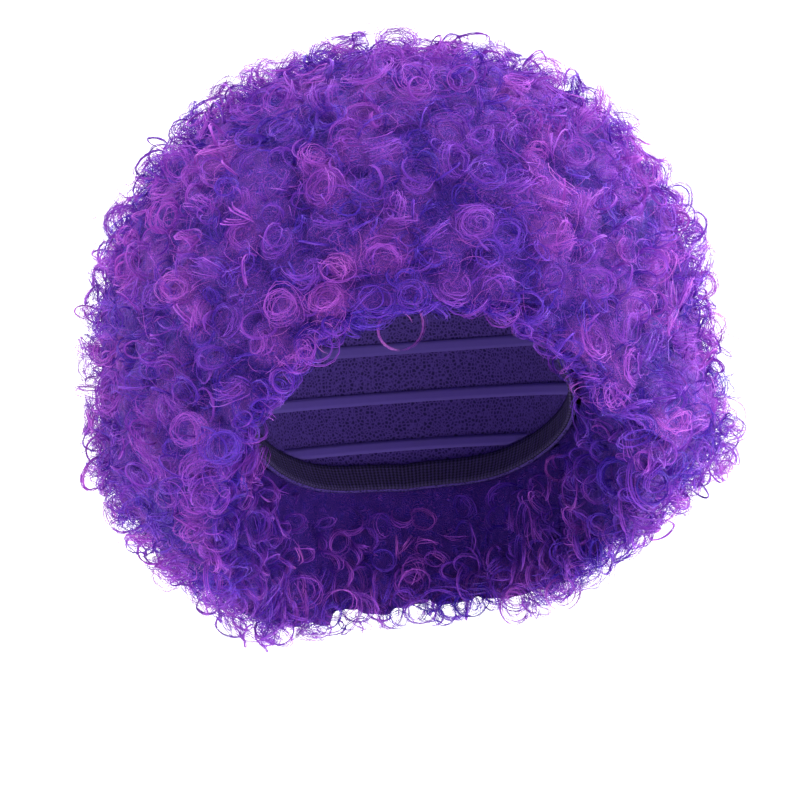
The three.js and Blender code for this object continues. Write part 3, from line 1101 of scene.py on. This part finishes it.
@dataclass
class MattedCore:
    """The matted wall of hair of one row, domed under each ball of curls."""

    space: HairSpace
    balls: Curls
    top: float
    bottom: float
    depth: float = 0.882
    cell: float = 2.8 * MM
    dome_height: float = 4.6 * MM
    inset: float = math.radians(1.5)
    ball_radius: float = 150 * MM
    fall: float = 1.3
    inner_painted_shade: float = 0.12
    hollow_painted_shade: float = 0.08
    dome_painted_light: float = 0.85

    def _reach(self) -> float:
        """How far round the row reaches on both sides before the cap's edge cuts it off.

        Returns:
            The azimuth.
        """
        azimuths = np.linspace(0, math.pi, 721)
        inside = self.space.edge(azimuths) > self.top + 0.12 * (self.bottom - self.top)
        return math.pi if inside.all() else float(azimuths[np.argmin(inside)])

    def _insets(self, azimuth: Array) -> Array:
        """How far inside the cap's edge the wall ends, which makes its lower edge ragged.

        Args:
            azimuth: Azimuths along the edge.

        Returns:
            The angles.
        """
        rim = self.space.outline(azimuth, self.space.edge(azimuth))
        ragged = Lumps(np.random.default_rng(7), 9 * MM).at(rim)
        in_front = (0.5 - 0.5 * np.cos(azimuth)) ** 2
        return self.inset * np.clip(1.3 + 0.6 * ragged, 0.4, 2.3) * (1 - 0.8 * in_front)

    def _domes(self, points: Array) -> tuple[Array, Array]:
        """The domes that the balls of curls press up.

        Args:
            points: Points of the outside, N x 3.

        Returns:
            Heights as shares of the full dome, and the balls' tones there.
        """
        height, tone = np.zeros(len(points)), np.zeros(len(points))
        centres, sizes = self.balls.centre, self.balls.size * 1.2
        for start in range(0, len(points), 800):
            away = np.sum((points[start : start + 800, None] - centres[None]) ** 2, -1)
            share = away / (sizes[None] ** 2 + (6 * MM) ** 2)
            dome = np.sqrt(np.maximum(1 - share, 0)) * (1 - 0.5 * np.exp(-away / (7 * MM) ** 2))
            best = dome.argmax(1)
            height[start : start + 800] = dome.max(1)
            tone[start : start + 800] = self.balls.tone[best]
        return height, tone

    def add_to(self, maker: MeshMaker) -> None:
        """Adds the closed wall to a mesh.

        Args:
            maker: Where it goes.
        """
        reach = self._reach()
        ring = reach >= math.pi - 1e-9
        tip = min(self.bottom * self.fall, math.pi * 0.62)
        girth = 2 * reach * self.ball_radius * max(math.sin(tip), 0.2)
        height = (self.bottom - self.top) * self.fall * self.ball_radius
        across = max(4, int(round(height / self.cell)))
        steps = max(12, int(round(girth / self.cell)))
        azimuth = np.linspace(-reach, reach, steps + 1)
        if ring:
            azimuth = azimuth[:-1]
        bottom = np.minimum(self.bottom, self.space.edge(azimuth) - self._insets(azimuth))
        bottom = np.maximum(bottom, self.top + 0.002)
        # Extra points beside both edges keep the seam between two walls from shading dark.
        share = np.sort(np.concatenate([np.linspace(0, 1, across + 1), (0.02, 0.98)]))
        polar = self.top + (bottom - self.top)[:, None] * share[None]
        a = np.broadcast_to(azimuth[:, None], polar.shape)
        depth = self.space.tufted(a, polar, np.full(polar.shape, self.depth))
        outer = self.space.point(a, polar, depth)
        out, _ = self.space.frame_at(a, polar, depth)
        dome, ball_tone = (v.reshape(polar.shape) for v in self._domes(outer.reshape(-1, 3)))
        relief = self.dome_height * dome
        if not ring:
            fade = np.clip((reach - np.abs(azimuth)) / 0.12, 0, 1) ** 0.5
            outer = self.space.point(a, polar, depth * (0.72 + 0.28 * fade)[:, None])
        outer = outer + out * relief[..., None]
        # Down the wall's lower side, along the cap and up its upper side.
        sides = [(-1, 0.6), (-1, 0.4), (-1, 0.2), (-1, 0.02), (0, 0.02), (0, 0.3), (0, 0.6)]
        back = [self.space.point(a[:, j], polar[:, j], np.full(len(a), d)) for j, d in sides]
        section = np.concatenate([outer, np.stack(back, 1)], 1)
        # Painted shade: the wall is dark in the hollows between domes and on its inner sides; the
        # domes' tops take the balls' tone.
        tone = np.full(section.shape[:2], self.inner_painted_shade)
        tone[:, : outer.shape[1]] = self.hollow_painted_shade + self.dome_painted_light * ball_tone * dome
        closed_skin(maker, section, ring, np.clip(tone, 0, 1))


@dataclass
class HairWeft:
    """One row of hair: its matted core, its curls and its frizz."""

    node: str
    index: int
    space: HairSpace
    curls: dict[Curl, Curls]
    loose: list["Frizz | FreeLocks"]
    fibre: bpy.types.Material
    matted: bpy.types.Material

    def build(self) -> list[bpy.types.Object]:
        """Makes the row's pieces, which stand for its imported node.

        Returns:
            The pieces.
        """
        top, bottom = self.space.rows()[self.index]
        core = MeshMaker()
        MattedCore(self.space, self.curls[Curl.BALL], top, bottom).add_to(core)
        coils = MeshMaker()
        for source in (*self.curls.values(), *self.loose):
            mine = np.flatnonzero(self.space.row_of(source.polar) == self.index)
            if len(mine):
                ribbons(coils, source.strands_of(mine))
        pieces = [
            core.build(f"{self.node}_mat", self.matted),
            coils.build(f"{self.node}_curls", self.fibre),
        ]
        for piece in pieces:
            stand_for(piece, self.node)
        return pieces


@dataclass(frozen=True)
class StretchNet:
    """Warp-knitted nylon net, dyed dark violet: dull to the eye, with open holes 1.8 mm apart."""

    name: str = "warp-knitted nylon net"
    hole_spacing: float = 1.8 * MM
    hole_depth: float = 0.4 * MM

    def make(self) -> bpy.types.Material:
        """Builds the material: dark cells between lighter, raised threads.

        Returns:
            The material.
        """
        material, tree, shader = new_material(self.name, Roughness=0.8, Specular_IOR_Level=0.2)
        place = add_node(tree, "TexCoord").outputs["Object"]
        cells = add_node(
            tree,
            "TexVoronoi",
            {"feature": "DISTANCE_TO_EDGE"},
            {"Vector": place, "Scale": 1 / self.hole_spacing, "Randomness": 0.85},
        ).outputs["Distance"]
        stops = [(0.0, "#543c90"), (0.14, "#422c78"), (0.32, "#21134a")]
        threads = add_node(tree, "ValToRGB", links={0: cells}, stops=stops).outputs["Color"]
        taped = add_node(tree, "Attribute", {"attribute_name": "tone"}).outputs["Fac"]
        colour = add_node(
            tree, "Mix", {"data_type": "RGBA"}, {0: taped, 6: threads, 7: hex_to_linear("#5a4698")}
        )
        bare = add_node(tree, "Math", {"operation": "SUBTRACT"}, {0: 1.0, 1: taped})
        holes = add_node(tree, "Math", {"operation": "MULTIPLY"}, {0: cells, 1: bare.outputs[0]})
        bump = add_node(
            tree,
            "Bump",
            {"invert": True},
            {"Strength": 0.7, "Distance": self.hole_depth, "Height": holes.outputs[0]},
        )
        tree.links.new(colour.outputs[2], shader.inputs["Base Color"])
        tree.links.new(bump.outputs[0], shader.inputs["Normal"])
        return material


@dataclass(frozen=True)
class WovenElastic:
    """Woven elastic: rubber cords under a tight violet-black cover, dull and finely ribbed.

    Ribs are counted over both faces, 1.5 mm apart, and picks along the band, 2.4 mm apart:
    coarser than the real 0.5 mm, so that they show.
    """

    name: str = "woven elastic"
    ribs: float = 19.11
    picks: float = 222.93
    rib_depth: float = 0.3 * MM

    def make(self) -> bpy.types.Material:
        """Builds the material with ribs across and fine picks along.

        Returns:
            The material.
        """
        material, tree, shader = new_material(self.name, Roughness=0.8, Specular_IOR_Level=0.2)
        place = add_node(tree, "UVMap", {"uv_map": "OFBake"}).outputs["UV"]
        ribs, picks = (
            add_node(
                tree,
                "TexWave",
                {"wave_type": "BANDS", "bands_direction": way},
                {"Vector": place, "Scale": BAND_SCALE * count, "Distortion": bend},
            ).outputs["Fac"]
            for way, count, bend in (("Y", self.ribs, 0.3), ("X", self.picks, 0.6))
        )
        height = add_node(
            tree, "Math", {"operation": "MULTIPLY_ADD"}, {0: ribs, 1: 0.7, 2: picks}
        ).outputs[0]
        stops = [(0.1, "#140e26"), (0.9, "#2c2248"), (1.0, "#3d3160")]
        colour = add_node(tree, "ValToRGB", links={0: height}, stops=stops)
        bump = add_node(
            tree, "Bump", {}, {"Strength": 0.7, "Distance": self.rib_depth, "Height": height}
        )
        tree.links.new(colour.outputs["Color"], shader.inputs["Base Color"])
        tree.links.new(bump.outputs[0], shader.inputs["Normal"])
        return material


@dataclass
class NetCap:
    """The stretch net cap that the wefts are sewn to, with a taped track for each row."""

    space: HairSpace
    wall: float = 1.6 * MM
    around: int = 128
    down: int = 32
    tape_width: float = 6 * MM
    tape_height: float = 0.7 * MM
    stitch_pitch: float = 6 * MM
    stitch_height: float = 0.35 * MM
    band_room: float = 16 * MM

    def build(self, net: bpy.types.Material) -> bpy.types.Object:
        """Makes the hollow shell.

        Args:
            net: The cap's material.

        Returns:
            The cap.
        """
        azimuth = np.linspace(-math.pi, math.pi, self.around + 1)[:-1]
        share = np.linspace(0.002, 1, self.down + 1)
        polar = self.space.edge(azimuth)[:, None] * share[None]
        a = np.broadcast_to(azimuth[:, None], polar.shape)
        inner = self.space.head(a, polar, 0.0)
        outer = self.space.head(a, polar, self.wall)[:, ::-1]
        section = np.concatenate([inner, outer], 1)
        maker = MeshMaker()
        bare = np.zeros(section.shape[:2])
        closed_skin(maker, section[::-1], ring=True, tone=bare, strip=(0.01, 0.79))
        for number, (top, _) in enumerate(self.space.rows()[1:]):
            self._add_tape(maker, top, 0.8 + 0.024 * number)
        cap = maker.build("net_cap", net)
        stand_for(cap, "cap")
        return cap

    def _add_tape(self, maker: MeshMaker, polar: float, strip: float) -> None:
        """Adds the tape under a row of hair, with the puckers of its zigzag stitches.

        Args:
            maker: Where it goes.
            polar: Polar angle of the tape.
            strip: Where its strip of the map starts.
        """
        half = 0.5 * self.tape_width / (self.space.head_length / 2)
        band = self.band_room / (self.space.head_length / 2)
        azimuths = np.linspace(-math.pi, math.pi, 1441)
        inside = self.space.edge(azimuths) - band > polar - 0.6 * half
        reach = math.pi if inside.all() else float(azimuths[inside].max())
        ring = reach >= math.pi - 1e-9
        girth = 2 * reach * self.space.head_length / 2 * math.sin(polar)
        steps = max(24, int(girth / self.stitch_pitch * 4))
        azimuth = np.linspace(-reach, reach, steps + 1)[: steps if ring else steps + 1]
        share = np.linspace(-1, 1, 4)
        angle = polar + half * share[None] + 0 * azimuth[:, None]
        angle = np.minimum(angle, (self.space.edge(azimuth) - band)[:, None] + 0.001 * share)
        a = np.broadcast_to(azimuth[:, None], angle.shape)
        zigzag = np.abs(2 * ((np.arange(len(azimuth)) / 4) % 1) - 1) * 2 - 1
        stitch = np.exp(-(((share[None] - 0.8 * zigzag[:, None]) / 0.3) ** 2))
        face = self.space.head(a, angle, -self.tape_height)
        inward = unit(face - self.space.head(a, angle, 0.0))
        face = face + inward * (self.stitch_height * stitch)[..., None]
        back = self.space.head(a[:, [-1, 0]], angle[:, [-1, 0]], 0.2 * MM)
        section = np.concatenate([face, back], 1)
        tape = np.ones(section.shape[:2])
        closed_skin(maker, section, ring, tone=tape, strip=(strip, strip + 0.02))


@dataclass
class ElasticBand:
    """The elastic sewn inside the cap's edge."""

    space: HairSpace
    width: float = 14 * MM
    thickness: float = 1.4 * MM
    sewn_gap: float = 0.3 * MM
    around: int = 240
    pucker_height: float = 0.35 * MM
    puckers: int = 60

    def build(self, elastic: bpy.types.Material) -> bpy.types.Object:
        """Makes the band.

        Args:
            elastic: Its material.

        Returns:
            The band.
        """
        half = self.space.head_length / 2
        azimuth = np.linspace(-math.pi, math.pi, self.around + 1)[:-1]
        edge = self.space.edge(azimuth)[:, None]
        low, high = edge - self.sewn_gap / half, edge - self.width / half
        share = np.linspace(0, 1, 7)[None]
        face = high + (low - high) * share
        a = np.broadcast_to(azimuth[:, None], face.shape)
        waves = np.sin(azimuth * self.puckers)[:, None] * np.sin(share * math.pi)
        outer = self.space.head(a, face, -self.sewn_gap)
        middle = self.space.head(a, face, -self.sewn_gap - self.thickness)
        inner = (middle + unit(middle - outer) * (self.pucker_height * waves)[..., None])[:, ::-1]
        section = np.concatenate([outer, inner], 1)
        maker = MeshMaker()
        closed_skin(maker, section, ring=True)
        band = maker.build("elastic_edge", elastic)
        stand_for(band, "edge_band")
        return band


@dataclass
class Studio:
    """The pale floor and backdrop, the soft lights and the camera."""

    centre: tuple[float, float, float]
    distance: float = 1.6
    azimuth: float = math.radians(-4)
    elevation: float = math.radians(1)
    roll: float = math.radians(4)
    frame_width: float = 0.380
    picture_size: int = 800
    centre_px: tuple[float, float] = (410, 385)
    aim: tuple[float, float, float] = (0, 0, -0.09)

    def _softboxes(self) -> None:
        """Adds square softboxes aimed at the wig."""
        table = [
            # name, place, side, watts
            ("key", (0.3, -1.6, 0.8), 1.0, 9),
            ("left side", (-1.4, 0.25, 0.1), 1.1, 27),
            ("right side", (1.4, 0.25, 0.0), 1.1, 52),
            ("top", (0.15, 0.05, 1.4), 1.1, 41),
            ("low fill", (0.7, -1.1, -0.6), 0.8, 5),
        ]
        for name, place, side, watts in table:
            data = bpy.data.lights.new(f"{name} softbox", "AREA")
            data.shape, data.size, data.energy = "SQUARE", side, watts
            light = bpy.data.objects.new(f"{name} softbox", data)
            light.location = place
            towards = Vector(self.aim) - Vector(place)
            light.rotation_euler = towards.to_track_quat("-Z", "Y").to_euler()
            bpy.context.scene.collection.objects.link(light)

    def build(self) -> None:
        """Makes the stage, the lights, the world and the camera."""
        self._sweep()
        self._softboxes()
        world = bpy.data.worlds.new("studio")
        world.use_nodes = True
        world.node_tree.nodes["Background"].inputs[0].default_value = hex_to_linear("#f4f3f7")
        world.node_tree.nodes["Background"].inputs[1].default_value = 0.55
        bpy.context.scene.world = world
        bpy.context.scene.view_settings.view_transform = "Standard"
        self._camera()

    def _sweep(self) -> None:
        """Adds the floor that curves up into a backdrop."""
        profile = [(-4.0, -0.9), (1.6, -0.9)]
        profile += [
            (1.6 + 0.8 * math.sin(t), -0.1 - 0.8 * math.cos(t)) for t in np.linspace(0.1, 1.57, 14)
        ]
        profile += [(2.4, 3.5)]
        points = np.array([[[x, y, z] for y, z in profile] for x in (-5.0, 5.0)])
        count = len(profile)
        j = np.arange(count - 1)
        quads = np.stack([j, j + 1, count + j + 1, count + j], -1)
        material, _, _ = new_material(
            "pale studio paper",
            Base_Color=hex_to_linear("#f3f2f4"),
            Roughness=0.9,
            Emission_Color=hex_to_linear("#ffffff"),
            Emission_Strength=0.3,
        )
        maker = MeshMaker()
        maker.add(points, quads, np.zeros((2 * count, 2)))
        maker.build("floor", material)

    def _camera(self) -> None:
        """Adds the camera at the photograph's angle."""
        data = bpy.data.cameras.new("camera")
        data.sensor_width = 36
        data.lens = 36 * self.distance / self.frame_width
        camera = bpy.data.objects.new("camera", data)
        a, e = self.azimuth, self.elevation
        back = Vector((math.sin(a) * math.cos(e), -math.cos(a) * math.cos(e), math.sin(e)))
        turn = (-back).to_track_quat("-Z", "Y").to_matrix() @ Matrix.Rotation(-self.roll, 3, "Z")
        scale, middle = self.frame_width / self.picture_size, self.picture_size / 2
        right = (self.centre_px[0] - middle) * scale
        down = (self.centre_px[1] - middle) * scale
        aim = Vector(self.centre) - turn.col[0] * right + turn.col[1] * down
        camera.location = aim + back * self.distance
        camera.rotation_euler = turn.to_euler()
        data.clip_start, data.clip_end = 0.05, 50
        bpy.context.scene.collection.objects.link(camera)
        bpy.context.scene.camera = camera


def main() -> None:
    """Builds the wig and its studio in order."""
    logging.basicConfig(level=logging.INFO, format="%(name)s %(message)s")
    rng = np.random.default_rng(20)
    space = HairSpace()
    patches = Lumps(rng, 20 * MM)
    curls = {Curl.BALL: Curls(space, rng, Curl.BALL.value, patches)}
    balls = curls[Curl.BALL].centre
    curls[Curl.TUCKED] = Curls(space, rng, Curl.TUCKED.value, patches, around=balls)
    curls[Curl.LOOP] = Curls(space, rng, Curl.LOOP.value, patches)
    curls[Curl.RIM] = Curls(space, rng, Curl.RIM.value, patches, on_rim=True)
    for kind, made in curls.items():
        log.info("%s: %d curls", kind.name, len(made.azimuth))
    loose = [Frizz(space, rng, patches), FreeLocks(space, rng)]
    fibre, matted = CrimpedFibre().make(), MattedFibre().make()
    nodes = ["crown_tuft"] + [f"hair_weft_{i}" for i in range(1, 9)]
    total = 0
    for index, node in enumerate(nodes):
        pieces = HairWeft(node, index, space, curls, loose, fibre, matted).build()
        total += sum(2 * len(p.data.polygons) for p in pieces)
    log.info("hair triangles: %d", total)
    NetCap(space).build(StretchNet().make())
    ElasticBand(space).build(WovenElastic().make())
    Studio(centre=(0.0, 0.0, -space.crown_height)).build()


if __name__ == "__main__":
    main()
